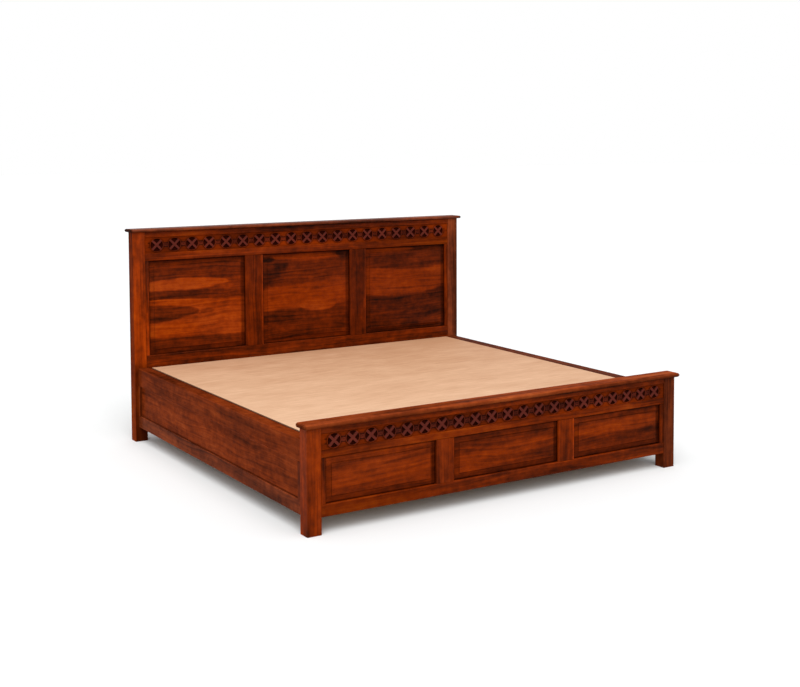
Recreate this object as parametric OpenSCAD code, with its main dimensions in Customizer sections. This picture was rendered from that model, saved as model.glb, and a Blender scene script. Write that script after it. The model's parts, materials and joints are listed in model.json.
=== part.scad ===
// Storage bed in solid timber: panelled headboard and footboard with pierced fretwork bands,
// panelled sides, a box below and a plywood deck that lifts on gas struts.
// X runs across the bed, Y from the foot to the head, Z up. The origin is on the floor,
// under the middle of the whole outline.

/* [Overall] */
// Width over the outer faces of the foot posts
foot_w = 1900; // [1650:5:2100]
// How far each head post stands out past the foot post at its side
head_over = 15; // [5:1:25]
// Length from the front of the foot posts to the back of the head posts
bed_l = 1960; // [1800:5:2300]
// Height of the head posts, up to the underside of the cap
head_h = 1060; // [900:5:1300]
// Height of the foot posts, up to the underside of the cap
foot_h = 423; // [415:1:520]
// Height of the side rails and of the closed deck
deck_z = 372; // [370:1:395]

/* [Posts and caps] */
// Side of the square posts
post = 63; // [58:1:80]
// Easing on the long edges of posts, rails and mullions
ease = 2.5; // [1:0.5:5]
// Thickness of the headboard cap
head_cap_t = 15; // [12:1:30]
// Thickness of the footboard cap
foot_cap_t = 20; // [14:1:30]
// Overhang of both caps at the front and at the ends
cap_over = 16; // [8:1:30]
// Overhang of the headboard cap at the back
head_cap_back = 8; // [0:1:12]

/* [Frame timbers] */
// Thickness of the headboard and footboard rails and mullions
frame_t = 36; // [34:1:45]
// Step from the post face back to the rail face
reveal = 4; // [1:1:8]
// Thickness of the tenons
tenon_t = 12; // [8:1:16]
// Length of the rail tenons
tenon_l = 34; // [20:1:45]
// Width of the stiles that stand against the posts beside the outer panels
end_stile_w = 20; // [14:1:40]
// Length of the mullion tenons
mullion_tenon_l = 18; // [10:1:20]
// Shoulder left above and below each tenon
shoulder = 5; // [3:1:8]

/* [Headboard] */
// Height of the rail under the cap
head_top_rail_h = 30; // [24:1:60]
// Height of the fretwork that shows
head_fret_h = 78; // [74:1:110]
// Height of the rail under the fretwork
head_mid_rail_h = 40; // [32:1:70]
// Level of the lower edge of the headboard panels
head_panel_z = 432; // [400:1:480]
// Height of the rail under the headboard panels
head_bottom_rail_h = 84; // [70:1:110]
// Width of the headboard mullions
head_mullion_w = 100; // [70:1:130]
// Height of the lowest headboard rail
head_base_rail_h = 60; // [45:1:90]

/* [Footboard] */
// Height of the rail under the footboard cap
foot_top_rail_h = 26; // [22:1:50]
// Height of the fretwork that shows
foot_fret_h = 64; // [63:1:90]
// Height of the rail under the fretwork
foot_mid_rail_h = 31; // [28:1:60]
// Height of the lowest footboard rail
foot_bottom_rail_h = 50; // [40:1:80]
// Width of the footboard mullions
foot_mullion_w = 86; // [60:1:120]
// Extra width of the footboard's middle panel over its outer ones
foot_mid_extra = 36; // [0:2:80]

/* [Fretwork] */
// Motifs in the headboard row
head_motifs = 19; // [5:1:20]
// Diameter inside the headboard rings
head_motif_d = 66; // [50:1:68]
// Motifs in the footboard row
foot_motifs = 21; // [5:1:22]
// Diameter inside the footboard rings
foot_motif_d = 58; // [44:1:58]
// Plain stretch left at each end of both rows
fret_end = 17; // [8:1:30]
// Width of the crossed arms in each ring
fret_arm_w = 11; // [4:0.5:12]
// Width of the ring
fret_ring_w = 3; // [2:0.5:4]
// Width of the link between two rings
fret_link_w = 16; // [8:1:24]
// Side of the diamond sunk in each link
fret_diamond = 7; // [4:0.5:9]
// Thickness of the pierced board
fret_t = 9; // [7:0.5:12]
// Height that rings, arms and links stand above the board
fret_rise = 3; // [1:0.5:5]
// Depth of the fretwork's face behind the rail face
fret_sink = 1.5; // [0.5:0.5:3]
// Thickness of the board behind the piercings
fret_back_t = 6; // [4:0.5:9]
// Depth of the grooves that hold both boards
fret_groove_d = 8; // [5:1:10]

/* [Fielded panels] */
// Depth of the raised field behind the rail face
field_sink = 4; // [1:0.5:6]
// Width of the bevel round the field
bevel_w = 27; // [15:1:40]
// Step at the edge of the field
field_step = 2; // [1:0.5:3]
// Depth of the bevel's outer edge behind the rail face
bevel_sink = 12; // [9:0.5:14]
// Thickness of the tongue round the panel
tongue_t = 7; // [5:0.5:9]
// Depth of the panel grooves
groove_d = 9; // [6:1:12]

/* [Sides] */
// Step from the foot post's outer face in to the side's face
side_set = 3; // [0:1:8]
// Height of the top side rail
side_top_h = 90; // [70:1:110]
// Level of the underside of the sides and of the headboard's lowest rail
side_low_z = 72; // [60:1:75]
// Level of the underside of the lowest footboard rail
foot_low_z = 68; // [60:1:80]
// Height of the bottom side rail
side_bottom_h = 60; // [50:1:80]
// Width of the side stiles that shows outside
stile_w = 25; // [18:1:40]
// Extra width of the side stiles behind the panel
stile_back_w = 15; // [10:1:25]
// Depth of the side panel's face behind the rail face
side_panel_sink = 8; // [4:1:12]
// Thickness of the side panels
side_panel_t = 12; // [9:1:15]

/* [Storage box] */
// Thickness of the box floor
floor_t = 12; // [9:1:15]
// Height of the cleats under the floor
cleat_h = 24; // [18:1:27]
// Width of the cleats under the floor
cleat_w = 25; // [18:1:32]
// Width of the beam under the middle of the floor
beam_w = 60; // [40:1:90]
// Side of the two middle legs
leg_w = 45; // [35:1:60]
// Distance from the middle to each middle leg
leg_y = 430; // [250:10:600]

/* [Lifting deck] */
// Thickness of the plywood deck
deck_t = 12; // [9:1:16]
// Side of the square steel tubes under the deck
tube = 30; // [25:1:34]
// Wall of the steel tubes
tube_wall = 2; // [1.5:0.5:3]
// Gap between the deck and each side rail
deck_side_gap = 7; // [6:0.5:10]
// Gap between the deck and the footboard
deck_foot_gap = 4; // [3:0.5:8]
// Gap between the deck and the headboard
deck_head_gap = 12; // [11:0.5:18]
// Inset of the tubes from the deck's edge
tube_inset = 5; // [4:1:12]
// Inset of the end tubes from the deck's ends
end_inset = 10; // [6:1:20]
// Number of cross tubes between the end tubes
cross_tubes = 3; // [2:1:5]
// Length of the hand slot near the foot
slot_l = 110; // [90:1:140]
// Width of the hand slot
slot_w = 34; // [28:1:40]
// Distance from the deck's foot edge to the middle of the hand slot
slot_in = 68; // [62:1:90]
// Width of the ledgers that the closed deck rests on
ledger_w = 25; // [22:1:26]
// Height of the ledgers
ledger_h = 25; // [18:1:35]
// Depth of the ledger along the footboard
foot_ledger_w = 62; // [55:1:75]

/* [Lift fitting] */
// Distance from the deck's head edge to the pivots
pivot_in = 300; // [280:5:320]
// Depth of the pivots below the closed deck's top
pivot_drop = 72; // [70:1:75]
// Diameter of the pivot pins
pivot_d = 12; // [8:0.5:14]
// Diameter of the pivot pins' heads
pivot_head_d = 18; // [16:0.5:20]
// Distance from the pivot forward to the strut's upper pin
upper_y = 320; // [300:5:340]
// Depth of the strut's upper pin below the pivot
upper_z = 30; // [24:1:36]
// Distance from the pivot forward to the strut's lower pin
lower_y = 20; // [10:1:30]
// Depth of the strut's lower pin below the pivot
lower_z = 170; // [162:1:173]
// Thickness of the fitting's steel plates
plate_t = 4; // [3:0.5:5]
// Gap between the fixed plate and the arm
plate_gap = 1; // [0.6:0.1:1.5]
// Width of the fixed plate
plate_w = 70; // [60:1:90]
// Diameter of the strut's tube
strut_d = 22; // [18:0.5:23]
// Wall of the strut's tube
strut_wall = 1.5; // [1:0.25:2.5]
// Diameter of the strut's rod
rod_d = 10; // [8:0.5:12]
// Diameter of the strut's pins
strut_pin_d = 8; // [6:0.5:9]
// Diameter of the heads on the strut's lower pins
strut_pin_head_d = 12; // [10:0.5:14]
// Diameter of the strut's eyes
eye_d = 18; // [16:0.5:20]
// Width of the strut's eyes
eye_w = 12; // [10:0.5:14]
// Length of rod that shows when the deck is closed, up to the eye's middle
rod_show = 31; // [26:1:40]
// Length of the piston on the rod's inner end
piston_l = 10; // [8:1:14]

/* [Fasteners and fits] */
// Diameter of the bed bolts
bolt_d = 8; // [6:0.5:10]
// Length of the bed bolts
bolt_l = 75; // [60:1:85]
// Distance from the side panel's back to the middle of the bed bolts
bolt_in = 9; // [8:0.5:12]
// Distance across the flats of the bed bolts' heads
bolt_head_af = 13; // [12:1:17]
// Height of the bed bolts' heads
bolt_head_h = 5; // [4:0.5:7]
// Diameter of the fixing screws' heads
screw_head_d = 9; // [7:0.5:11]
// Height of the fixing screws' heads
screw_head_h = 2.5; // [2:0.5:3]
// Diameter of the fixing screws
screw_d = 5; // [4:0.5:6]
// Length of the fixing screws
screw_l = 30; // [20:1:35]
// Clearance in timber joints, grooves and bolt holes
wood_gap = 0.2; // [0.1:0.05:0.4]
// Radial clearance of pins in their bores
pin_gap = 0.05; // [0.02:0.01:0.1]
// Radial clearance of the strut's rod and piston in its tube
strut_gap = 0.1; // [0.05:0.01:0.1]

/* [Hidden] */
$fn = 48;

// Levels along the bed
foot_front = -(bed_l + cap_over + head_cap_back) / 2 + cap_over;
foot_back = foot_front + post;
head_back = foot_front + bed_l;
head_front = head_back - post;
foot_face = foot_front + reveal;
head_face = head_front + reveal;
foot_frame_back = foot_face + frame_t;

// Half widths between the posts, and the side frames' faces
foot_in = foot_w / 2 - post;
head_in = foot_in + head_over;
side_out = foot_w / 2 - side_set;
side_in = foot_in;
panel_in = side_out - side_panel_sink - side_panel_t;

// Levels of the headboard
head_fret_z1 = head_h - head_top_rail_h;
head_fret_z0 = head_fret_z1 - head_fret_h;
head_panel_z1 = head_fret_z0 - head_mid_rail_h;
head_bottom_z0 = head_panel_z - head_bottom_rail_h;
head_base_z1 = side_low_z + head_base_rail_h;
head_open = head_in - end_stile_w;
head_open_w = (2 * head_open - 2 * head_mullion_w) / 3;
head_pitch = 2 * (head_in - fret_end) / head_motifs;

// Levels of the footboard
foot_fret_z1 = foot_h - foot_top_rail_h;
foot_fret_z0 = foot_fret_z1 - foot_fret_h;
foot_panel_z1 = foot_fret_z0 - foot_mid_rail_h;
foot_panel_z0 = foot_low_z + foot_bottom_rail_h;
foot_open = foot_in - end_stile_w;
foot_open_w = (2 * foot_open - 2 * foot_mullion_w - foot_mid_extra) / 3;
foot_pitch = 2 * (foot_in - fret_end) / foot_motifs;

// Levels of the sides and the box
side_panel_z0 = side_low_z + side_bottom_h;
side_panel_z1 = deck_z - side_top_h;
floor_z = side_low_z + cleat_h;
rail_tenon_y = frame_t / 2;
stile_full = stile_w + stile_back_w;

// Places of the two bolts at each end of a side: x, and the two heights
bolt_x = panel_in - bolt_in;
bolt_zs = [
    side_panel_z0 + (side_panel_z1 - side_panel_z0) / 4,
    side_panel_z1 - (side_panel_z1 - side_panel_z0) / 4
];

// The deck and its pivots
deck_x = side_in - deck_side_gap;
deck_y0 = foot_back + deck_foot_gap;
deck_y1 = head_front - deck_head_gap;
tube_z = deck_z - deck_t - tube;
tube_x = deck_x - tube_inset;
pivot_y = deck_y1 - pivot_in;
pivot_z = deck_z - pivot_drop;
ledger_end = pivot_y - upper_y - 2 * eye_d;

// The fitting's layers, from the side rail inwards
base_x = side_in - plate_t;
arm_x = base_x - plate_gap - plate_t;
strut_x = arm_x - plate_t - strut_d / 2;
strut_len = norm([upper_y - lower_y, lower_z - upper_z]);
strut_angle = atan2(lower_z - upper_z, upper_y - lower_y);
strut_end = strut_len - rod_show;
piston_d = strut_d - 2 * strut_wall - 2 * strut_gap;
stroke_room = strut_end - 2 * eye_d;
arm_r = pivot_head_d;
plate_low = -lower_z - eye_d;
plate_top = eye_d;
plate_corner = 10;

wood = [0.42, 0.14, 0.05];
wood_light = [0.55, 0.22, 0.08];
ply = [0.88, 0.72, 0.58];
steel = [0.62, 0.63, 0.65];
dark_steel = [0.12, 0.12, 0.13];

// A box between two opposite corners
module block(a, b) {
    translate(a) cube(b - a);
}

// The same shape on the left and the right side
module both_sides() {
    children();
    mirror([1, 0, 0]) children();
}

// A rectangle with all four corners eased
module eased(a, b, e = ease) {
    polygon([
        [a.x + e, a.y], [b.x - e, a.y], [b.x, a.y + e], [b.x, b.y - e],
        [b.x - e, b.y], [a.x + e, b.y], [a.x, b.y - e], [a.x, a.y + e]
    ]);
}

// Carries a profile drawn in Y and Z along X, from -half to half
module along_x(half) {
    translate([-half, 0, 0]) rotate([90, 0, 90]) linear_extrude(2 * half) children();
}

// Carries a profile drawn in X and Z along Y
module along_y(y0, y1) {
    translate([0, y1, 0]) rotate([90, 0, 0]) linear_extrude(y1 - y0) children();
}

// The tenons of a cross rail, grown by gap for the mortises they enter
module rail_tenons(half, face, z0, z1, gap = 0) {
    mid = face + rail_tenon_y;
    for (s = [-1, 1]) {
        block(
            [s * half + (s < 0 ? -tenon_l : 0) - gap, mid - tenon_t / 2 - gap, z0 + shoulder - gap],
            [s * half + (s > 0 ? tenon_l : 0) + gap, mid + tenon_t / 2 + gap, z1 - shoulder + gap]
        );
    }
}

// A cross rail between two posts, with its tenons
module cross_rail(half, face, z0, z1) {
    along_x(half) eased([face, z0], [face + frame_t, z1]);
    rail_tenons(half, face, z0, z1);
}

// The tenons of an upright mullion, grown by gap for the mortises they enter
module mullion_tenons(x, w, face, z0, z1, gap = 0) {
    mid = face + rail_tenon_y;
    block(
        [x - w / 2 + 2 * groove_d - gap, mid - tenon_t / 2 - gap, z0 - mullion_tenon_l - gap],
        [x + w / 2 - 2 * groove_d + gap, mid + tenon_t / 2 + gap, z1 + mullion_tenon_l + gap]
    );
}

// A mullion, drawn upright from z0 to z1
module mullion_bar(x, w, face, z0, z1) {
    translate([0, 0, z0]) linear_extrude(z1 - z0) {
        eased([x - w / 2, face], [x + w / 2, face + frame_t]);
    }
    mullion_tenons(x, w, face, z0, z1);
}

// The two stiles against a pair of posts, grooved for the outer panels
module end_stiles(half, face, z0, z1) {
    difference() {
        both_sides() translate([0, 0, z0]) linear_extrude(z1 - z0) {
            eased([half - end_stile_w, face], [half, face + frame_t]);
        }
        panel_groove(0, 2 * (half - end_stile_w), z0, z1, face);
    }
}

// A fielded panel's section as points: across the panel, and back from the rail face
function panel_section(half) = [
    [-half, bevel_sink + tongue_t],
    [-half, bevel_sink],
    [groove_d - half, bevel_sink],
    [groove_d + bevel_w - half, field_sink + field_step],
    [groove_d + bevel_w - half, field_sink],
    [half - bevel_w - groove_d, field_sink],
    [half - bevel_w - groove_d, field_sink + field_step],
    [half - groove_d, bevel_sink],
    [half, bevel_sink],
    [half, bevel_sink + tongue_t]
];

// A fielded panel round its own middle: the two sections cross, so the bevels meet in mitres
module fielded_panel(w, h) {
    half_w = w / 2 + groove_d - wood_gap;
    half_h = h / 2 + groove_d - wood_gap;
    intersection() {
        translate([0, 0, -half_h]) linear_extrude(2 * half_h) polygon(panel_section(half_w));
        translate([-half_w, 0, 0]) rotate([90, 0, 90]) linear_extrude(2 * half_w) {
            polygon([for (p = panel_section(half_h)) [p.y, p.x]]);
        }
    }
}

// The space of one panel's tongue, for cutting the grooves round an opening
module panel_groove(x, w, z0, z1, face) {
    block(
        [x - w / 2 - groove_d, face + bevel_sink - wood_gap, z0 - groove_d],
        [x + w / 2 + groove_d, face + bevel_sink + tongue_t + wood_gap, z1 + groove_d]
    );
}

// The space of the pierced board and its backing, for cutting the grooves above and below
module fret_groove(half, face, z0, z1) {
    plate_y = face + fret_sink + fret_rise;
    block(
        [-half, plate_y - wood_gap, z0 - fret_groove_d],
        [half, plate_y + fret_t + fret_back_t + wood_gap, z1 + fret_groove_d]
    );
}

// One piercing: a quarter wedge of the ring's inside, kept clear of the crossed arms
module petal(r) {
    tip = fret_arm_w / 2 * sqrt(2);
    intersection() {
        circle(r);
        translate([0, tip]) rotate(45) square(2 * r);
    }
}

// The outline of the rings and the links between them
module fret_front(count, pitch, r) {
    for (i = [0 : count - 1]) {
        translate([(i - (count - 1) / 2) * pitch, 0]) circle(r + fret_ring_w);
    }
    for (i = [0 : count - 2]) {
        translate([(i + 1 - count / 2) * pitch, 0]) {
            difference() {
                square([pitch - 2 * r, fret_link_w], center = true);
                rotate(45) square(fret_diamond, center = true);
            }
        }
    }
}

// All the piercings of one row
module fret_piercings(count, pitch, r) {
    for (i = [0 : count - 1]) {
        translate([(i - (count - 1) / 2) * pitch, 0]) {
            for (q = [0 : 3]) rotate(90 * q) petal(r);
        }
    }
}

// A pierced board standing in its grooves, with its rings and links raised
module fret_strip(half, face, z0, z1, count, pitch, d) {
    mid = (z0 + z1) / 2;
    reach = (z1 - z0) / 2 + fret_groove_d - wood_gap;
    translate([0, face + fret_sink + fret_rise + fret_t, mid]) rotate([90, 0, 0]) {
        linear_extrude(fret_t) difference() {
            translate([-half + wood_gap, -reach]) square([2 * (half - wood_gap), 2 * reach]);
            fret_piercings(count, pitch, d / 2);
        }
        linear_extrude(fret_t + fret_rise) difference() {
            intersection() {
                fret_front(count, pitch, d / 2);
                square([2 * (half - wood_gap), z1 - z0 - 2 * wood_gap], center = true);
            }
            fret_piercings(count, pitch, d / 2);
        }
    }
}

// The board behind a pierced board
module fret_backing(half, face, z0, z1) {
    y0 = face + fret_sink + fret_rise + fret_t;
    block(
        [-half + wood_gap, y0, z0 - fret_groove_d + wood_gap],
        [half - wood_gap, y0 + fret_back_t, z1 + fret_groove_d - wood_gap]
    );
}

// A cap's section: a flat board with a half-round nose of its own thickness at its front
module nosed(a0, a1, t) {
    translate([a0 + t / 2, t / 2]) circle(t / 2);
    translate([a0 + t / 2, 0]) square([a1 - a0 - t / 2, t]);
}

// A cap with a nose along its front and its two ends, mitred at the corners
module cap(half, y0, y1, z0, t) {
    translate([0, 0, z0]) intersection() {
        along_x(half) nosed(y0, y1, t);
        along_y(y0, y1) {
            nosed(-half, 0, t);
            mirror([1, 0]) nosed(-half, 0, t);
        }
    }
}

// A square post standing at x0 and y0, with eased long edges
module post_bar(x0, y0, h) {
    linear_extrude(h) eased([x0, y0], [x0 + post, y0 + post]);
}

// The pockets that the headboard's rails and base panel need in its posts
module head_post_pockets() {
    rail_tenons(head_in, head_face, head_fret_z1, head_h, wood_gap);
    rail_tenons(head_in, head_face, head_panel_z1, head_fret_z0, wood_gap);
    rail_tenons(head_in, head_face, head_bottom_z0, head_panel_z, wood_gap);
    rail_tenons(head_in, head_face, side_low_z, head_base_z1, wood_gap);
    panel_groove(0, 2 * head_in, head_base_z1, head_bottom_z0, head_face);
}

// The pockets that the footboard's rails need in its posts
module foot_post_pockets() {
    rail_tenons(foot_in, foot_face, foot_fret_z1, foot_h, wood_gap);
    rail_tenons(foot_in, foot_face, foot_panel_z1, foot_fret_z0, wood_gap);
    rail_tenons(foot_in, foot_face, foot_low_z, foot_panel_z0, wood_gap);
}

// Runs one shape along each bolt, from its head at the stile into the post
module at_bolts() {
    for (z = bolt_zs) {
        translate([bolt_x, foot_back + stile_full, z]) rotate([90, 0, 0]) children();
        translate([bolt_x, head_front - stile_full, z]) rotate([-90, 0, 0]) children();
    }
}

module bolt_holes() {
    at_bolts() translate([0, 0, -wood_gap]) {
        cylinder(h = bolt_l + 2 * wood_gap, d = bolt_d + 2 * wood_gap);
    }
}

module head_post() {
    difference() {
        post_bar(head_in, head_front, head_h);
        head_post_pockets();
        bolt_holes();
    }
}

module foot_post() {
    difference() {
        post_bar(foot_in, foot_front, foot_h);
        foot_post_pockets();
        bolt_holes();
    }
}

module head_post_left() {
    color(wood) mirror([1, 0, 0]) head_post();
}

module head_post_right() {
    color(wood) head_post();
}

module head_cap() {
    half = foot_w / 2 + head_over + cap_over;
    color(wood) cap(half, head_front - cap_over, head_back + head_cap_back, head_h, head_cap_t);
}

module head_top_rail() {
    color(wood) difference() {
        cross_rail(head_in, head_face, head_fret_z1, head_h);
        fret_groove(head_in, head_face, head_fret_z0, head_fret_z1);
    }
}

module head_fret_strip() {
    color(wood_light) {
        fret_strip(head_in, head_face, head_fret_z0, head_fret_z1, head_motifs, head_pitch, head_motif_d);
    }
}

module head_fret_backing() {
    color(wood) fret_backing(head_in, head_face, head_fret_z0, head_fret_z1);
}

module head_mid_rail() {
    color(wood) difference() {
        cross_rail(head_in, head_face, head_panel_z1, head_fret_z0);
        fret_groove(head_in, head_face, head_fret_z0, head_fret_z1);
        panel_groove(0, 2 * head_open, head_panel_z, head_panel_z1, head_face);
        for (s = [-1, 1]) head_mullion_pocket(s);
    }
}

// Middle of the headboard mullion on side s, and the mortises for it
function head_mullion_x(s) = s * (head_open_w + head_mullion_w) / 2;

module head_mullion_pocket(s) {
    mullion_tenons(head_mullion_x(s), head_mullion_w, head_face, head_panel_z, head_panel_z1, wood_gap);
}

module head_mullion(s) {
    color(wood) difference() {
        mullion_bar(head_mullion_x(s), head_mullion_w, head_face, head_panel_z, head_panel_z1);
        head_panel_grooves();
    }
}

module head_panel_grooves() {
    for (i = [-1 : 1]) {
        x = i * (head_open_w + head_mullion_w);
        panel_groove(x, head_open_w, head_panel_z, head_panel_z1, head_face);
    }
}

module head_mullion_left() {
    head_mullion(-1);
}

module head_mullion_right() {
    head_mullion(1);
}

module head_stiles() {
    color(wood) end_stiles(head_in, head_face, head_panel_z, head_panel_z1);
}

module head_panel(i) {
    mid = (head_panel_z + head_panel_z1) / 2;
    color(wood_light) translate([i * (head_open_w + head_mullion_w), head_face, mid]) {
        fielded_panel(head_open_w, head_panel_z1 - head_panel_z);
    }
}

module head_panel_left() {
    head_panel(-1);
}

module head_panel_centre() {
    head_panel(0);
}

module head_panel_right() {
    head_panel(1);
}

module head_bottom_rail() {
    color(wood) difference() {
        cross_rail(head_in, head_face, head_bottom_z0, head_panel_z);
        panel_groove(0, 2 * head_open, head_panel_z, head_panel_z1, head_face);
        panel_groove(0, 2 * head_in, head_base_z1, head_bottom_z0, head_face);
        for (s = [-1, 1]) head_mullion_pocket(s);
    }
}

// The flat board that closes the head end of the box
module head_base_panel() {
    reach = groove_d - wood_gap;
    y0 = head_face + bevel_sink;
    color(ply) block(
        [-head_in - reach, y0, head_base_z1 - reach],
        [head_in + reach, y0 + tongue_t, head_bottom_z0 + reach]
    );
}

module head_base_rail() {
    color(wood) difference() {
        cross_rail(head_in, head_face, side_low_z, head_base_z1);
        panel_groove(0, 2 * head_in, head_base_z1, head_bottom_z0, head_face);
    }
}

module foot_post_left() {
    color(wood) mirror([1, 0, 0]) foot_post();
}

module foot_post_right() {
    color(wood) foot_post();
}

module foot_cap() {
    color(wood) cap(foot_w / 2 + cap_over, foot_front - cap_over, foot_back, foot_h, foot_cap_t);
}

module foot_top_rail() {
    color(wood) difference() {
        cross_rail(foot_in, foot_face, foot_fret_z1, foot_h);
        fret_groove(foot_in, foot_face, foot_fret_z0, foot_fret_z1);
    }
}

module foot_fret_strip() {
    color(wood_light) {
        fret_strip(foot_in, foot_face, foot_fret_z0, foot_fret_z1, foot_motifs, foot_pitch, foot_motif_d);
    }
}

module foot_fret_backing() {
    color(wood) fret_backing(foot_in, foot_face, foot_fret_z0, foot_fret_z1);
}

module foot_mid_rail() {
    color(wood) difference() {
        cross_rail(foot_in, foot_face, foot_panel_z1, foot_fret_z0);
        fret_groove(foot_in, foot_face, foot_fret_z0, foot_fret_z1);
        panel_groove(0, 2 * foot_open, foot_panel_z0, foot_panel_z1, foot_face);
        for (s = [-1, 1]) foot_mullion_pocket(s);
    }
}

// Middle of the footboard mullion on side s, and the mortises for it
function foot_mullion_x(s) = s * (foot_open_w + foot_mid_extra + foot_mullion_w) / 2;

module foot_mullion_pocket(s) {
    mullion_tenons(foot_mullion_x(s), foot_mullion_w, foot_face, foot_panel_z0, foot_panel_z1, wood_gap);
}

module foot_mullion(s) {
    color(wood) difference() {
        mullion_bar(foot_mullion_x(s), foot_mullion_w, foot_face, foot_panel_z0, foot_panel_z1);
        foot_panel_grooves();
    }
}

// Middle and width of the footboard's opening number i, counted from -1 at the left
function foot_open_x(i) = i * (foot_open_w + foot_mullion_w + foot_mid_extra / 2);
function foot_open_size(i) = foot_open_w + (i == 0 ? foot_mid_extra : 0);

module foot_panel_grooves() {
    for (i = [-1 : 1]) {
        panel_groove(foot_open_x(i), foot_open_size(i), foot_panel_z0, foot_panel_z1, foot_face);
    }
}

module foot_mullion_left() {
    foot_mullion(-1);
}

module foot_mullion_right() {
    foot_mullion(1);
}

module foot_stiles() {
    color(wood) end_stiles(foot_in, foot_face, foot_panel_z0, foot_panel_z1);
}

module foot_panel(i) {
    mid = (foot_panel_z0 + foot_panel_z1) / 2;
    color(wood_light) translate([foot_open_x(i), foot_face, mid]) {
        fielded_panel(foot_open_size(i), foot_panel_z1 - foot_panel_z0);
    }
}

module foot_panel_left() {
    foot_panel(-1);
}

module foot_panel_centre() {
    foot_panel(0);
}

module foot_panel_right() {
    foot_panel(1);
}

module foot_bottom_rail() {
    color(wood) difference() {
        cross_rail(foot_in, foot_face, foot_low_z, foot_panel_z0);
        panel_groove(0, 2 * foot_open, foot_panel_z0, foot_panel_z1, foot_face);
        for (s = [-1, 1]) foot_mullion_pocket(s);
    }
}

// The space of the right side panel, grown by gap for its grooves
module side_panel_space(gap) {
    reach = groove_d - wood_gap + gap;
    block(
        [panel_in - gap, foot_back + stile_w - reach, side_panel_z0 - reach],
        [panel_in + side_panel_t + gap, head_front - stile_w + reach, side_panel_z1 + reach]
    );
}

module side_rail(z0, z1) {
    difference() {
        along_y(foot_back, head_front) eased([side_in, z0], [side_out, z1]);
        side_panel_space(wood_gap);
    }
}

module side_top_rail_left() {
    color(wood) mirror([1, 0, 0]) side_rail(side_panel_z1, deck_z);
}

module side_top_rail_right() {
    color(wood) side_rail(side_panel_z1, deck_z);
}

module side_bottom_rail_left() {
    color(wood) mirror([1, 0, 0]) side_rail(side_low_z, side_panel_z0);
}

module side_bottom_rail_right() {
    color(wood) side_rail(side_low_z, side_panel_z0);
}

module side_panel_left() {
    color(wood_light) mirror([1, 0, 0]) side_panel_space(0);
}

module side_panel_right() {
    color(wood_light) side_panel_space(0);
}

// The two stiles of one side: narrow outside, and deeper behind the panel to take the bolts
module side_stiles() {
    difference() {
        for (m = [0, 1]) translate([0, m * (foot_back + head_front), 0]) mirror([0, m, 0]) {
            block([panel_in, foot_back, side_panel_z0], [side_out, foot_back + stile_w, side_panel_z1]);
            block([side_in, foot_back, side_panel_z0], [panel_in, foot_back + stile_full, side_panel_z1]);
        }
        side_panel_space(wood_gap);
        bolt_holes();
    }
}

module side_stiles_left() {
    color(wood) mirror([1, 0, 0]) side_stiles();
}

module side_stiles_right() {
    color(wood) side_stiles();
}

module bed_bolts() {
    color(steel) both_sides() at_bolts() {
        cylinder(h = bolt_l, d = bolt_d);
        translate([0, 0, -bolt_head_h]) cylinder(h = bolt_head_h, d = bolt_head_af / cos(30), $fn = 6);
    }
}

module box_floor() {
    color(ply) block(
        [-side_in + 2 * wood_gap, foot_frame_back + 2 * wood_gap, floor_z],
        [side_in - 2 * wood_gap, head_face - 2 * wood_gap, floor_z + floor_t]
    );
}

// Cleats along the sides, the footboard and the headboard
module floor_cleats() {
    color(wood) {
        both_sides() {
            block([side_in - cleat_w, foot_back, side_low_z], [side_in, head_front, floor_z]);
        }
        x = side_in - cleat_w - wood_gap;
        block([-x, foot_frame_back, side_low_z], [x, foot_frame_back + cleat_w, floor_z]);
        block([-x, head_face - cleat_w, side_low_z], [x, head_face, floor_z]);
    }
}

module centre_beam() {
    color(wood) block(
        [-beam_w / 2, foot_frame_back + cleat_w + wood_gap, side_low_z],
        [beam_w / 2, head_face - cleat_w - wood_gap, floor_z]
    );
}

module centre_legs() {
    color(wood) for (s = [-1, 1]) {
        translate([0, s * leg_y, 0]) linear_extrude(side_low_z) {
            eased([-leg_w / 2, -leg_w / 2], [leg_w / 2, leg_w / 2]);
        }
    }
}

// The timbers behind the side panels that carry the lift fittings
module lift_uprights() {
    color(wood) both_sides() difference() {
        block(
            [side_in, pivot_y - lower_y - plate_w / 2, side_panel_z0],
            [panel_in - wood_gap, pivot_y + plate_w / 2, side_panel_z1]
        );
        at_screws() translate([0, 0, -screw_l]) cylinder(h = screw_l, d = screw_d);
    }
}

// Ledgers along both sides and the footboard that the closed deck rests on
module deck_ledgers() {
    color(wood) {
        z0 = tube_z - ledger_h;
        x = side_in - ledger_w;
        both_sides() block([x, foot_back + wood_gap, z0], [side_in, ledger_end, tube_z]);
        end = foot_frame_back + foot_ledger_w;
        block([-x + wood_gap, foot_frame_back, z0], [x - wood_gap, end, tube_z]);
    }
}

// Runs a shape drawn in the fitting's own plane: forward is +X, up is +Y, thickness inwards
module fitting_plane(x) {
    translate([x, pivot_y, pivot_z]) rotate([90, 0, -90]) children();
}

// The four screws of one fixed plate, drawn at its face, pointing inwards
module at_screws() {
    x0 = -plate_w / 2 + screw_head_d;
    x1 = lower_y + plate_w / 2 - screw_head_d;
    for (x = [x0, x1], z = [-2 * arm_r - screw_head_d, -lower_z + eye_d]) {
        fitting_plane(base_x) translate([x, z, 0]) children();
    }
}

module lift_base() {
    difference() {
        fitting_plane(side_in) linear_extrude(plate_t) {
            eased([-plate_w / 2, plate_low], [lower_y + plate_w / 2, plate_top], plate_corner);
        }
        at_screws() translate([0, 0, -2 * plate_t]) cylinder(h = 3 * plate_t, d = screw_d);
    }
}

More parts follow.
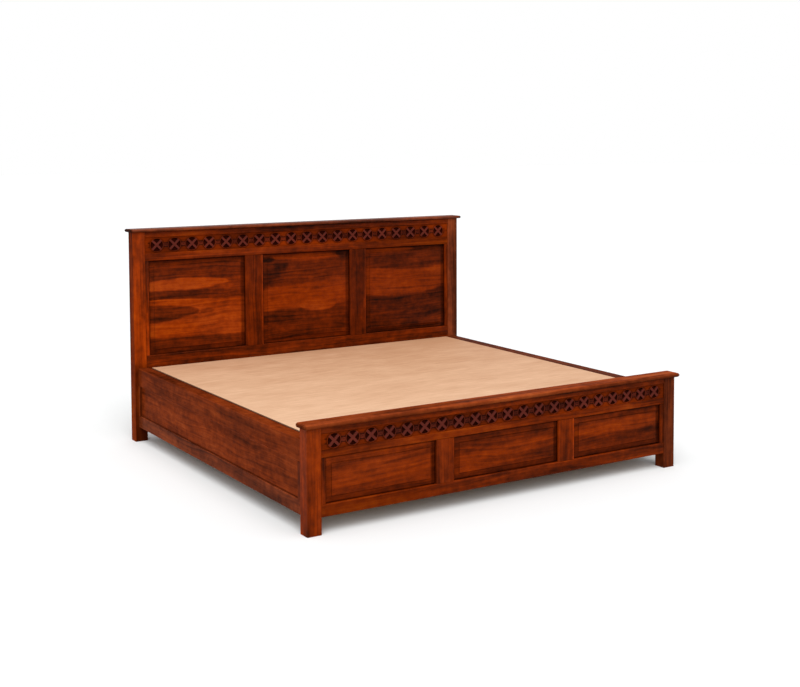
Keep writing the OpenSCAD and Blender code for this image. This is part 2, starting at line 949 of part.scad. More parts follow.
module lift_screws() {
    color(steel) both_sides() at_screws() {
        cylinder(h = screw_head_h, d = screw_head_d);
        translate([0, 0, -screw_l]) cylinder(h = screw_l, d = screw_d);
    }
}

module lift_base_left() {
    color(dark_steel) mirror([1, 0, 0]) lift_base();
}

module lift_base_right() {
    color(dark_steel) lift_base();
}

// The pivots welded to the fixed plates, with a head inside the arm
module pivot_pins() {
    color(steel) both_sides() fitting_plane(base_x) {
        cylinder(h = plate_gap + plate_t + pin_gap, d = pivot_d);
        translate([0, 0, plate_gap + plate_t + pin_gap]) cylinder(h = plate_t, d = pivot_head_d);
    }
}

// The pins at the struts' lower ends, with a small head inside the eye
module strut_lower_pins() {
    reach = base_x - strut_x + eye_w / 2 + plate_gap;
    color(steel) both_sides() fitting_plane(base_x) translate([lower_y, -lower_z, 0]) {
        cylinder(h = reach, d = strut_pin_d);
        translate([0, 0, reach]) cylinder(h = plate_gap, d = strut_pin_head_d);
    }
}

module deck_board() {
    y = deck_y0 + slot_in;
    color(ply) difference() {
        block([-deck_x, deck_y0, deck_z - deck_t], [deck_x, deck_y1, deck_z]);
        translate([0, 0, deck_z - 2 * deck_t]) linear_extrude(3 * deck_t) {
            for (s = [-1, 1]) translate([s * (slot_l - slot_w) / 2, y]) circle(d = slot_w);
            translate([-(slot_l - slot_w) / 2, y - slot_w / 2]) square([slot_l - slot_w, slot_w]);
        }
    }
}

// A hollow square tube's section with its corner at the origin
module tube_section() {
    difference() {
        square(tube);
        translate([tube_wall, tube_wall]) square(tube - 2 * tube_wall);
    }
}

module deck_side_tubes() {
    color(dark_steel) both_sides() {
        along_y(deck_y0 + end_inset, deck_y1 - end_inset) {
            translate([tube_x - tube, tube_z]) tube_section();
        }
    }
}

module cross_tube(y) {
    along_x(tube_x - tube) translate([y, tube_z]) tube_section();
}

// Tubes across both ends and between them, evenly spaced
module deck_cross_tubes() {
    first = deck_y0 + end_inset;
    last = deck_y1 - end_inset - tube;
    color(dark_steel) for (i = [0 : cross_tubes + 1]) {
        cross_tube(first + (last - first) * i / (cross_tubes + 1));
    }
}

// The swinging arm: a plate from the pivot to the strut, and a flange under the side tube
module lift_arm() {
    flange_z = tube_z - pivot_z;
    fitting_plane(base_x - plate_gap) {
        difference() {
            linear_extrude(plate_t) {
                translate([-arm_r, 0]) square([upper_y + 2 * arm_r, flange_z]);
                circle(arm_r);
                translate([upper_y, -upper_z]) circle(arm_r);
                translate([upper_y - arm_r, -upper_z]) square([2 * arm_r, upper_z]);
            }
            translate([0, 0, -plate_t]) cylinder(h = 3 * plate_t, d = pivot_d + 2 * pin_gap);
        }
        block([-arm_r, flange_z - plate_t, 0], [upper_y + arm_r, flange_z, tube + plate_t]);
    }
}

module lift_arm_left() {
    color(dark_steel) mirror([1, 0, 0]) lift_arm();
}

module lift_arm_right() {
    color(dark_steel) lift_arm();
}

// Studs on the arms that point at the struts' upper eyes and stop just short of them
module strut_upper_studs() {
    reach = arm_x - strut_x - eye_w / 2 - plate_gap;
    color(steel) both_sides() fitting_plane(arm_x) {
        translate([upper_y, -upper_z, 0]) cylinder(h = reach, d = strut_pin_d);
    }
}

// The strut's own line: its start is the lower pin, and its length runs along X
module strut_line() {
    fitting_plane(strut_x) translate([lower_y, -lower_z, 0]) rotate(strut_angle) children();
}

// A round bar along the strut's line, from a to b
module strut_bar(a, b, d) {
    translate([a, 0, 0]) rotate([0, 90, 0]) cylinder(h = b - a, d = d);
}

// An eye across the strut's line
module strut_eye(a) {
    translate([a, 0, -eye_w / 2]) cylinder(h = eye_w, d = eye_d);
}

module strut_tube() {
    strut_line() difference() {
        union() {
            strut_eye(0);
            strut_bar(0, eye_d, rod_d);
            strut_bar(eye_d - plate_t, strut_end, strut_d);
        }
        translate([0, 0, -eye_w]) cylinder(h = 2 * eye_w, d = strut_pin_d + 2 * pin_gap);
        strut_bar(eye_d, strut_end - eye_d, strut_d - 2 * strut_wall);
        strut_bar(eye_d, strut_end + strut_gap, rod_d + 2 * strut_gap);
    }
}

module strut_tube_left() {
    color(dark_steel) mirror([1, 0, 0]) strut_tube();
}

module strut_tube_right() {
    color(dark_steel) strut_tube();
}

module strut_rod() {
    piston = strut_len - rod_show - stroke_room;
    strut_line() difference() {
        union() {
            strut_eye(strut_len);
            strut_bar(piston, strut_len, rod_d);
            strut_bar(piston, piston + piston_l, piston_d);
        }
        translate([strut_len, 0, -eye_w]) cylinder(h = 2 * eye_w, d = strut_pin_d + 2 * pin_gap);
    }
}

module strut_rod_left() {
    color(steel) mirror([1, 0, 0]) strut_rod();
}

module strut_rod_right() {
    color(steel) strut_rod();
}

head_post_left();
head_post_right();
head_cap();
head_top_rail();
head_fret_strip();
head_fret_backing();
head_mid_rail();
head_mullion_left();
head_mullion_right();
head_stiles();
head_panel_left();
head_panel_centre();
head_panel_right();
head_bottom_rail();
head_base_panel();
head_base_rail();
foot_post_left();
foot_post_right();
foot_cap();
foot_top_rail();
foot_fret_strip();
foot_fret_backing();
foot_mid_rail();
foot_mullion_left();
foot_mullion_right();
foot_stiles();
foot_panel_left();
foot_panel_centre();
foot_panel_right();
foot_bottom_rail();
side_top_rail_left();
side_top_rail_right();
side_bottom_rail_left();
side_bottom_rail_right();
side_panel_left();
side_panel_right();
side_stiles_left();
side_stiles_right();
bed_bolts();
box_floor();
floor_cleats();
centre_beam();
centre_legs();
lift_uprights();
deck_ledgers();
lift_base_left();
lift_base_right();
lift_screws();
pivot_pins();
strut_lower_pins();
deck_board();
deck_side_tubes();
deck_cross_tubes();
lift_arm_left();
lift_arm_right();
strut_upper_studs();
strut_tube_left();
strut_tube_right();
strut_rod_left();
strut_rod_right();
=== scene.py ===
import json
import math

import bmesh
import bpy
from mathutils import Matrix, Vector

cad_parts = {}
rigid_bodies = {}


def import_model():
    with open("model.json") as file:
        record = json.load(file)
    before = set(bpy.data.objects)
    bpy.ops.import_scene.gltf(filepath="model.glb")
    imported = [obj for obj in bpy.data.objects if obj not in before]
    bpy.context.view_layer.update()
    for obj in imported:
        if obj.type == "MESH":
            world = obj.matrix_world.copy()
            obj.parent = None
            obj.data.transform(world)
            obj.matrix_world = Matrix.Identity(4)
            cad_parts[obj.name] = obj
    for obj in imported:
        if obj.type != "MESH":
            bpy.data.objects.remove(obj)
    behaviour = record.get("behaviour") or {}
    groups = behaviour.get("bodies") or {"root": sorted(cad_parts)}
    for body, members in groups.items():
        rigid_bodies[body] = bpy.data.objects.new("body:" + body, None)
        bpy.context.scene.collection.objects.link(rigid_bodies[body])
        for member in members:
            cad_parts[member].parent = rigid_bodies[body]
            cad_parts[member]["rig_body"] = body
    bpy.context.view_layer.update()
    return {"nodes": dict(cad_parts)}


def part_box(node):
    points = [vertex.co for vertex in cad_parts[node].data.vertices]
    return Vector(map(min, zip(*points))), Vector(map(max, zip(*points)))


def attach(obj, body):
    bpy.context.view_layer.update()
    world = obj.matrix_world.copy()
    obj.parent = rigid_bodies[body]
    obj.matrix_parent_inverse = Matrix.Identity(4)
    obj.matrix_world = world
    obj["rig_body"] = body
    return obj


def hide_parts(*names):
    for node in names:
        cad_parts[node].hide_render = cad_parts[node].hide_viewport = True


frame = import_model()


class Field:
    """A value over a surface, held as one node's output. Arithmetic on it adds Math nodes."""

    def __init__(self, tree, socket=None):
        self.tree = tree
        self.socket = socket

    def node(self, kind, settings=None, sockets=None, out=0):
        """Adds a node of that type: its settings first, then the values or links of its sockets."""
        made = self.tree.nodes.new(kind)
        for key, value in (settings or {}).items():
            if key == "stops":
                ramp = made.color_ramp
                while len(ramp.elements) < len(value):
                    ramp.elements.new(0.5)
                for element, (place, colour) in zip(ramp.elements, value):
                    element.position = place
                    element.color = (*colour, 1.0)
            else:
                setattr(made, key, value)
        for key, value in (sockets or {}).items():
            if isinstance(value, Field):
                self.tree.links.new(value.socket, made.inputs[key])
            else:
                made.inputs[key].default_value = value
        return Field(self.tree, made.outputs[out])

    def maths(self, operation, *values):
        return self.node("ShaderNodeMath", {"operation": operation}, dict(enumerate(values)))

    def __add__(self, other):
        return self.maths("ADD", self, other)

    def __sub__(self, other):
        return self.maths("SUBTRACT", self, other)

    def __rsub__(self, other):
        return self.maths("SUBTRACT", other, self)

    def __mul__(self, other):
        return self.maths("MULTIPLY", self, other)

    def __truediv__(self, other):
        return self.maths("DIVIDE", self, other)

    def __pow__(self, other):
        return self.maths("POWER", self, other)

    def __abs__(self):
        return self.maths("ABSOLUTE", self)

    __radd__ = __add__
    __rmul__ = __mul__

    def least(self, other):
        return self.maths("MINIMUM", self, other)

    def most(self, other):
        return self.maths("MAXIMUM", self, other)

    def rise(self, low, high):
        """0 below low and 1 above high, with a smooth step between them."""
        return self.node(
            "ShaderNodeMapRange",
            {"interpolation_type": "SMOOTHSTEP"},
            {"Value": self, "From Min": low, "From Max": high},
        )

    def split(self):
        """The three parts of a vector."""
        parts = self.node("ShaderNodeSeparateXYZ", None, {0: self})
        return [Field(self.tree, parts.socket.node.outputs[i]) for i in range(3)]

    def noise(self, place, cells, detail=2.0, roughness=0.5):
        """Noise from 0 to 1 at a place of three parts, with that many cells in a unit of each."""
        parts = {i: place[i] * cells[i] for i in range(3)}
        spot = self.node("ShaderNodeCombineXYZ", None, parts)
        sockets = {"Vector": spot, "Scale": 1.0, "Detail": detail, "Roughness": roughness}
        return self.node("ShaderNodeTexNoise", None, sockets)

    def between(self, first, second):
        """The first colour where this is 0, the second where it is 1."""
        return self.node("ShaderNodeMix", {"data_type": "RGBA"}, {0: self, 6: first, 7: second}, 2)

    def shades(self, stops):
        """A colour ramp read at this value."""
        return self.node("ShaderNodeValToRGB", {"stops": stops}, {0: self})

    def dimmed(self, factor):
        """This colour, times a number."""
        return self.node("ShaderNodeVectorMath", {"operation": "SCALE"}, {0: self, "Scale": factor})

    def bump(self, strength, distance):
        """A normal that leans as this height changes."""
        sockets = {"Strength": strength, "Distance": distance, "Height": self}
        return self.node("ShaderNodeBump", None, sockets)


def finish_of(name, build, **constants):
    """A material whose shader takes constants on its own sockets, and links from build."""
    material = bpy.data.materials.new(name)
    material.use_nodes = True
    tree = material.node_tree
    shader = tree.nodes["Principled BSDF"]
    for key, value in constants.items():
        shader.inputs[key.replace("_", " ")].default_value = value
    for key, field in build(Field(tree)).items():
        tree.links.new(field.socket, shader.inputs[key])
    return material


# The bed's axes by their place in a vector
X, Y, Z = 0, 1, 2

# Which object axis runs along a board, which across its face, and which through it
ALONG_X = (X, Z, Y)
ALONG_Y = (Y, Z, X)
ALONG_Z = (Z, X, Y)
FLAT_X = (X, Y, Z)

# Sheesham heartwood, from its black veins to its brightest orange
HEARTWOOD = [
    (0.00, (0.016, 0.003, 0.001)),
    (0.22, (0.062, 0.008, 0.001)),
    (0.45, (0.140, 0.016, 0.001)),
    (0.68, (0.245, 0.028, 0.001)),
    (1.00, (0.380, 0.056, 0.002)),
]

# The same timber where it is browner
BROWNWOOD = [
    (0.00, (0.018, 0.005, 0.002)),
    (0.22, (0.062, 0.012, 0.004)),
    (0.45, (0.135, 0.026, 0.008)),
    (0.68, (0.235, 0.047, 0.013)),
    (1.00, (0.365, 0.085, 0.024)),
]


def own_place(start):
    """X, Y and Z of a point in the bed's frame, in metres."""
    return start.node("ShaderNodeTexCoord", out="Object").split()


def board_place(start, axes, shift):
    """Along, across and through a board in metres, moved to its own place in the log."""
    parts = own_place(start)
    return [parts[axis] + move for axis, move in zip(axes, shift)]


# Cells in a metre of each noise in the timber: along a board, across its rings or its face, and
# through it
DRIFT = (0.9, 2.4, 2.4)
FIBRE = (9.0, 420.0, 90.0)
STREAK = (3.2, 110.0, 40.0)
PORE = (38.0, 1500.0, 300.0)
MOTTLE = (26.0, 30.0, 30.0)
BLOTCH = (6.0, 14.0, 14.0)
PATCH = (2.6, 9.0, 9.0)

# Cells in a metre of the bands along a board, and of the veins' strength across its rings, then
# the veins in a band, and how far off in the log the patches are read, in metres
BANDS_ALONG, STRENGTH_ACROSS, VEINS_IN_BAND, PATCHES_OFF = 1.1, 21.0, 4.5, 0.6667

# Coat weight of the lacquer on most boards
LACQUER = 0.06


def lacquered(name, grain, figure=None, quirks=(), coat=LACQUER):
    """Sheesham under gloss lacquer. The rings are the height across the board, swung by slow noise
    along it; slow noise of the rings gives the colour bands, and their fraction the dark veins.
    The grain is how brown the board is, its axes, its place in the log, its tone, the swing of its
    rings, its bands in a metre, and the bands' lightness and contrast. A figure takes the place of
    the bands. The quirks are this board's own painted highlights, painted shade and stains, and its coat
    follows them."""
    brown, axes, shift, tone, swing, bands, light, contrast = grain

    def build(start):
        board = board_place(start, axes, shift)
        along, across, through = board
        drift = start.noise(board, DRIFT, 3.0, 0.55) - 0.5
        ring = across + through * 0.4 + drift * swing
        rings = (along, ring, through)
        if figure:
            band = figure(start)
        else:
            band = start.noise((ring, along, 0.0), (bands, BANDS_ALONG, 1.0), 4.0, 0.62)
            band = (band - 0.5) * contrast + light
        growth = start.maths("FRACT", ring * (bands * VEINS_IN_BAND) + drift * 2.0)
        strength = start.noise((ring, along, 4.0), (STRENGTH_ACROSS, BANDS_ALONG, 1.0), 1.0)
        vein = growth.rise(0.35, 0.97) * (1.0 - growth.rise(0.975, 1.0)) * strength.rise(0.42, 0.68)
        fibre = start.noise(rings, FIBRE, 3.0, 0.6)
        streak = start.noise(rings, STREAK, 3.0, 0.6)
        mottle = start.noise(board, MOTTLE, 3.0, 0.6)
        blotch = start.noise(board, BLOTCH, 3.0, 0.6)
        pore = start.noise(rings, PORE, 1.0).rise(0.62, 0.74)
        value = band - vein * 0.16
        for detail, share in ((fibre, 0.36), (streak, 0.45), (mottle, 0.54), (blotch, 0.44)):
            value = value + (detail - 0.5) * share
        patch = start.noise((along, across, through + PATCHES_OFF), PATCH, 2.0).rise(0.40, 0.68)
        lean = patch * 0.12 + brown
        colour = lean.between(value.shades(HEARTWOOD), value.shades(BROWNWOOD))
        # Pores darken it, and the quirks bring painted shade, painted highlights and stains
        marking = 1.0 - pore * 0.35
        for quirk in quirks:
            marking = marking * quirk(start)
        return {
            "Base Color": colour.dimmed(marking * tone),
            "Roughness": fibre * 0.12 + pore * 0.10 + 0.30,
            "Coat Weight": marking * coat,
            "Normal": (fibre * 0.25 - pore).bump(0.12, 0.0006),
        }

    return finish_of(name, build, Specular_IOR_Level=0.0, Coat_Roughness=0.18)


# How wide an edge is rounded, in metres. Under the pivot pins' heads, a wider one than theirs would
# cut into the arms that turn there
BOARD_EDGE, PANEL_EDGE, PLYWOOD_EDGE = 0.0012, 0.0010, 0.0008
FRETWORK_EDGE, METAL_EDGE, PIN_EDGE = 0.0006, 0.0006, 0.0003

# Corners this near are one, in metres, and the turns, in degrees, up to which triangles are flat
# and from which an edge is sharp
SAME_CORNER, FLAT_TURN, SHARP_TURN = 2e-6, 0.5, 34.0


def dressed(node, material, slot, edge=BOARD_EDGE, joined=True):
    """A copy of a CAD node: doubles merged, flat triangles joined, and its sharp edges rounded."""
    source = frame["nodes"][node]
    mesh = source.data.copy()
    shape = bmesh.new()
    shape.from_mesh(mesh)
    bmesh.ops.remove_doubles(shape, verts=shape.verts, dist=SAME_CORNER)
    if joined:
        flat = math.radians(FLAT_TURN)
        bmesh.ops.dissolve_limit(shape, angle_limit=flat, verts=shape.verts, edges=shape.edges)
    for face in shape.faces:
        face.smooth = True
    shape.to_mesh(mesh)
    shape.free()
    mesh.materials.clear()
    mesh.materials.append(material)
    piece = bpy.data.objects.new(node + "_finished", mesh)
    bpy.context.scene.collection.objects.link(piece)
    bevel = piece.modifiers.new("edges", "BEVEL")
    bevel.width = edge
    bevel.segments = 2
    bevel.limit_method = "ANGLE"
    bevel.angle_limit = math.radians(SHARP_TURN)
    bevel.miter_outer = "MITER_ARC"
    weighted = piece.modifiers.new("normals", "WEIGHTED_NORMAL")
    weighted.keep_sharp = True
    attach(piece, source["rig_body"])
    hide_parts(node)
    return piece


# Of a fielded panel, in metres: the depth of its tongue in the groove, and how far in from the
# opening its bevel ends and its field steps up
TONGUE, BEVEL, STEP = 0.0088, 0.025, 0.0265


def opening(node):
    """Middle and half size of the opening that a fielded panel fills, seen from the front."""
    low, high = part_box(node)
    middle = (low + high) / 2
    return middle, high.x - middle.x - TONGUE, high.z - middle.z - TONGUE


def opening_shade(node, bevel_shade, step_shade, top_share, right_shade):
    """Painted shade in a panel's groove and along the step of its field, and painted shade with some
    staining over its bevel. The bevel along the top holds its own share of that, and the right end
    of the panel some more."""
    middle, half_x, half_z = opening(node)

    def quirk(start):
        x, y, z = own_place(start)
        inside = (half_x - abs(x - middle.x)).least(half_z - abs(z - middle.z))
        groove = 1.0 - inside.rise(0.001, 0.009)
        top = (z - middle.z).rise(half_z - BEVEL - 0.005, half_z - BEVEL + 0.001)
        right = (x - middle.x).rise(half_x - BEVEL - 0.001, half_x - BEVEL + 0.007)
        bevel = (1.0 - inside.rise(BEVEL - 0.005, BEVEL + 0.005)) * (1.0 + top * (top_share - 1.0))
        step = 1.0 - abs(inside - STEP).rise(0.0, 0.0035)
        # Painted shade: darkest in the groove, then over the bevel, along the step and at the right end
        shade = 1.0 - groove * 0.65
        for darkening, amount in ((bevel, bevel_shade), (step, step_shade), (right, right_shade)):
            shade = shade * (1.0 - darkening * amount)
        return shade

    return quirk


def panel_figure(node, base, shapes):
    """Colour bands laid over one panel, as lens shapes painted in order on a base shade.
    u runs from -1 to 1 across the panel and v from 0 to 1 up it. A lens with its middle height at
    level + slope * u + sag * u * u is half * (1 - ((u - at) / reach)^2)^blunt thick on each side."""
    middle, half_x, half_z = opening(node)

    def figure(start):
        x, y, z = own_place(start)
        wander = start.noise((x, z, 7.0), (2.2, 5.0, 1.0), 3.0, 0.55) - 0.5
        fray = start.noise((x, z, 3.0), (7.0, 60.0, 1.0), 3.0, 0.6) - 0.5
        u = (x - middle.x) / half_x
        v = (z - middle.z) / (2.0 * half_z) + 0.5 + wander * 0.08 + fray * 0.030
        cloud = start.noise((x, z, 2.0), (3.0, 22.0, 1.0), 4.0, 0.62) - 0.5
        value = cloud * 0.40 + base
        for shade, level, slope, sag, half, at, reach, blunt, soft in shapes:
            off = (u - at) / reach
            height = v - (u * u * sag + u * slope + level)
            swell = (1.0 - off * off).most(0.0) ** blunt
            beyond = (abs(off) - 1.0).most(0.0)
            edge = swell * half - beyond * (2.0 * half) - abs(height)
            rings = start.noise((edge, u, level), (24.0, 0.9, 9.0), 3.0) - 0.5
            near = 1.0 - abs(edge).rise(0.03, 0.14)
            value = value + (cloud * 0.30 + shade - value) * edge.rise(-soft, soft) + rings * near * 0.10
        return value

    return figure


# Base shade, tone and lenses of each panel; of each lens the shade, level, slope, sag, half, at,
# reach, blunt and the softness of its edge
FIGURES = {
    "head_panel_left": (0.34, 1.00, (
        (0.48, 0.70, 0.00, 0.00, 0.110, 0.85, 0.40, 0.5, 0.050),
        (0.72, 0.36, 0.00, 0.00, 0.205, 0.40, 4.00, 1.0, 0.020),
        (0.78, 0.745, 0.00, -0.02, 0.062, -0.35, 1.00, 0.6, 0.012),
        (0.30, 0.632, 0.02, 0.00, 0.050, -0.45, 1.15, 0.8, 0.012),
        (0.84, 0.563, 0.00, 0.00, 0.010, -0.45, 0.75, 0.5, 0.008),
        (0.37, 0.43, 0.00, 0.00, 0.085, -1.10, 1.12, 0.5, 0.016),
        (0.25, 0.38, 0.02, 0.00, 0.030, -0.80, 0.35, 0.7, 0.020),
        (0.56, 0.42, 0.00, 0.00, 0.030, 0.18, 0.14, 0.5, 0.020),
        (0.33, 0.05, 0.00, 0.00, 0.098, 0.00, 6.00, 1.0, 0.018),
    )),
    "head_panel_centre": (0.36, 0.84, (
        (0.40, 0.80, 0.00, 0.00, 0.130, 0.30, 3.00, 1.0, 0.030),
        (0.65, 0.515, 0.03, 0.00, 0.135, -0.10, 2.60, 0.5, 0.022),
        (0.72, 0.400, 0.00, 0.00, 0.070, 0.24, 0.42, 0.6, 0.018),
        (0.60, 0.62, 0.02, 0.00, 0.050, 0.50, 0.60, 0.7, 0.040),
        (0.62, 0.945, 0.00, 0.00, 0.034, -0.05, 0.78, 0.6, 0.018),
        (0.20, 1.03, 0.34, 0.00, 0.085, -0.86, 0.44, 0.5, 0.040),
        (0.10, 0.925, 0.00, 0.00, 0.030, -0.88, 0.14, 0.6, 0.020),
        (0.17, 0.97, 0.00, 0.00, 0.060, 0.90, 0.22, 0.6, 0.030),
        (0.24, 0.24, 0.00, 0.00, 0.060, -0.60, 0.38, 0.6, 0.050),
    )),
    "head_panel_right": (0.27, 0.76, (
        (0.36, 0.85, 0.00, 0.00, 0.110, 0.00, 5.00, 1.0, 0.030),
        (0.63, 0.575, 0.01, 0.05, 0.165, -0.35, 1.95, 0.5, 0.020),
        (0.62, 0.97, 0.00, 0.00, 0.030, -0.60, 0.80, 0.7, 0.015),
        (0.24, 0.79, 0.02, 0.00, 0.022, 0.60, 0.50, 0.7, 0.015),
        (0.46, 0.23, 0.00, 0.00, 0.014, -0.40, 0.50, 0.7, 0.012),
        (0.14, 0.22, 0.00, 0.00, 0.050, 0.66, 0.24, 0.6, 0.040),
        (0.44, 0.09, 0.00, 0.00, 0.030, 0.65, 0.32, 0.7, 0.025),
    )),
    "foot_panel_left": (0.50, 0.84, (
        (0.65, 0.55, 0.05, 0.00, 0.260, 0.10, 1.50, 1.0, 0.080),
        (0.66, 0.98, 0.00, 0.00, 0.070, 0.00, 5.00, 1.0, 0.030),
        (0.42, 0.66, 0.10, 0.00, 0.050, 0.60, 0.60, 0.8, 0.040),
    )),
    "foot_panel_centre": (0.42, 0.84, (
        (0.62, 0.52, 0.10, 0.00, 0.130, -0.30, 1.40, 1.0, 0.080),
        (0.60, 0.26, 0.04, 0.00, 0.090, -0.60, 0.80, 1.0, 0.060),
        (0.26, 0.30, 0.05, 0.00, 0.120, 0.90, 0.55, 0.6, 0.060),
        (0.30, 0.88, 0.00, 0.00, 0.090, 0.50, 1.30, 0.8, 0.050),
    )),
    "foot_panel_right": (0.40, 0.82, (
        (0.61, 0.66, 0.02, 0.00, 0.170, 0.10, 1.80, 1.0, 0.050),
        (0.30, 0.36, 0.06, 0.00, 0.080, 0.40, 1.30, 0.8, 0.050),
    )),
}

RAIL, PANEL = "sheesham_frame", "sheesham_panel"

# Swing of the rings in the panels' timber, and its bands in a metre
PANEL_SWING, PANEL_BANDS = 0.12, 9.0

# At each end of the bed: painted shade of the panels' bevel and of their step, the share of the top
# bevel, and the right end's painted shade
PANEL_SHADE = {"head": (0.10, 0.25, 3.5, 0.45), "foot": (0.28, 0.45, 0.0, 0.50)}

for number, (node, (base, tone, shapes)) in enumerate(FIGURES.items()):
    figure = panel_figure(node, base, shapes)
    end = node.split("_")[0]
    quirk = opening_shade(node, *PANEL_SHADE[end])
    shift = (1.7 * number, 0.41 * number, 0.0)
    grain = (0.0, ALONG_X, shift, tone, PANEL_SWING, PANEL_BANDS, None, None)
    dressed(node, lacquered("lacquer_" + node, grain, figure, (quirk,)), PANEL, PANEL_EDGE)


# Ends of a board along an axis, and its middle
LOW, MIDDLE, HIGH = -1, 0, 1


def place_on(box, axis, spot):
    """Place in metres along an axis: an end of the board or its middle, and a step from there."""
    low, high = box[0][axis], box[1][axis]
    end, step = spot
    return (low + high) / 2 + (high - low) / 2 * end + step


def darker_along(box, axis, clear, dark, amount, both=False):
    """Darker along one axis from clear to dark, or toward both ends alike."""
    clear, dark = place_on(box, axis, clear), place_on(box, axis, dark)

    def quirk(start):
        place = own_place(start)[axis]
        return 1.0 - (abs(place) if both else place).rise(clear, dark) * amount

    return quirk


def painted_light_at_level(box, axis, spot, reach, gain):
    """A painted highlight along a line or over a face at one level, where an edge or a face catches
    the light, or painted shade there where the gain is negative."""
    level = place_on(box, axis, spot)

    def quirk(start):
        return 1.0 + (1.0 - abs(own_place(start)[axis] - level).rise(reach * 0.3, reach)) * gain

    return quirk


def banded(box, axis, first, last, soft, gain):
    """A lighter band across the board from first to last, or a darker one."""
    low, high = place_on(box, axis, first), place_on(box, axis, last)

    def quirk(start):
        place = own_place(start)[axis]
        return 1.0 + place.rise(low, low + soft) * (1.0 - place.rise(high - soft, high)) * gain

    return quirk


def painted_foot_shade(box, amount):
    """Painted shade on a post's front face below the deck's top, deepest at the floor."""
    front = box[0].y
    deck_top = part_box("deck_board")[1].z

    def quirk(start):
        x, y, z = own_place(start)
        face = 1.0 - (y - front).rise(0.0005, 0.0015)
        low = 1.0 - z.rise(deck_top - 0.032, deck_top + 0.058) * 0.75 - z.rise(0.0, 0.25) * 0.25
        return 1.0 - face * low * amount

    return quirk


# Boards with marks of their own: painted highlights, painted shade, dark end grain and darkening
# toward one side. A spot is an end of the board and a step from there in metres, and the last
# numbers are how wide a line or a soft edge is, and how strong the quirk is
QUIRKS = {
    "head_cap": ((darker_along, X, (HIGH, -0.013), (HIGH, -0.005), 0.80, True),),
    # Painted shade on the front face below the rails, deepest at the floor, and on the side face
    "head_post_left": ((painted_foot_shade, 0.86), (painted_light_at_level, X, (LOW, 0.0), 0.002, -0.42)),
    # Painted shade deepening toward the right edge
    "head_post_right": ((darker_along, X, (LOW, 0.023), (HIGH, -0.003), 0.45),),
    # Darker toward the right, and a painted highlight along the rounded lower edge
    "head_mid_rail": (
        (darker_along, X, (MIDDLE, 0.1), (MIDDLE, 0.7), 0.46),
        (painted_light_at_level, Z, (LOW, 0.016), 0.004, 0.35),
    ),
    "head_stiles": ((darker_along, X, (MIDDLE, -0.5), (MIDDLE, 0.5), 0.36),),
    # Painted highlights along the mullions' right edges
    "head_mullion_left": ((painted_light_at_level, X, (HIGH, -0.0013), 0.007, 0.9),),
    "head_mullion_right": ((painted_light_at_level, X, (HIGH, -0.0017), 0.007, 0.6),),
    # Dark end grain at both ends, and painted shade on every face below the top
    "foot_cap": (
        (darker_along, X, (HIGH, -0.011), (HIGH, -0.003), 0.40, True),
        (banded, Z, (LOW, -0.003), (HIGH, -0.003), 0.003, -0.32),
    ),
    # A painted highlight on the side face and its edge
    "foot_post_left": ((painted_light_at_level, X, (LOW, 0.0), 0.002, 0.45),),
    "foot_mid_rail": (
        (banded, X, (LOW, -0.18), (MIDDLE, -0.45), 0.25, -0.17),
        (darker_along, X, (MIDDLE, 0.5), (MIDDLE, 0.9), 0.10),
    ),
    "foot_stiles": ((darker_along, X, (MIDDLE, 0.0), (MIDDLE, 0.9), 0.24),),
    # Painted highlights along the mullions' right edges
    "foot_mullion_left": ((painted_light_at_level, X, (HIGH, -0.0017), 0.006, 0.35),),
    "foot_mullion_right": ((painted_light_at_level, X, (HIGH, -0.0018), 0.006, 0.70),),
    # A painted highlight along the top edge, and a darker band toward the left
    "foot_bottom_rail": (
        (painted_light_at_level, Z, (HIGH, -0.001), 0.004, 0.35),
        (banded, X, (LOW, -0.18), (MIDDLE, -0.30), 0.20, -0.31),
    ),
    # Painted shade on the top face, and along the inner edge in the gap beside the deck
    "side_top_rail_left": (
        (painted_light_at_level, Z, (HIGH, 0.0), 0.002, -0.06),
        (banded, X, (HIGH, -0.0095), (HIGH, 0.007), 0.002, -0.52),
    ),
    # Painted shade on the top face
    "side_top_rail_right": ((painted_light_at_level, Z, (HIGH, 0.0), 0.002, -0.25),),
    # Painted shadow of the recess on the head-end stile, beside the panel's groove
    "side_stiles_left": ((banded, Y, (HIGH, -0.066), (HIGH, -0.014), 0.004, -0.60),),
    # Painted shade with some staining along the step at the foot, and painted light along the top against
    # the groove's shadow
    "side_panel_left": (
        (painted_light_at_level, Z, (LOW, 0.0103), 0.005, -0.50),
        (painted_light_at_level, Z, (HIGH, -0.0118), 0.006, 0.50),
    ),
}

# Coat weight of the boards whose lacquer shines more or less than the rest
SHINE = {"head_cap": 0.20, "foot_cap": 0.03, "side_panel_left": 0.03, "side_top_rail_left": 0.03}

# How far a board leans from orange, at 0, to brown, at 1. The rest are orange. On these boards the
# brown is partly the timber's own hue and partly a painted reflection, the haze of the white studio
BROWNER = {
    "head_cap": 1.0,
    "head_post_right": 0.85,
    "foot_cap": 0.6,
    "foot_post_right": 0.55,
    "side_top_rail_left": 0.42,
    "side_top_rail_right": 0.90,
    "side_bottom_rail_left": 0.85,
    "side_stiles_left": 0.42,
    "side_panel_left": 0.42,
}

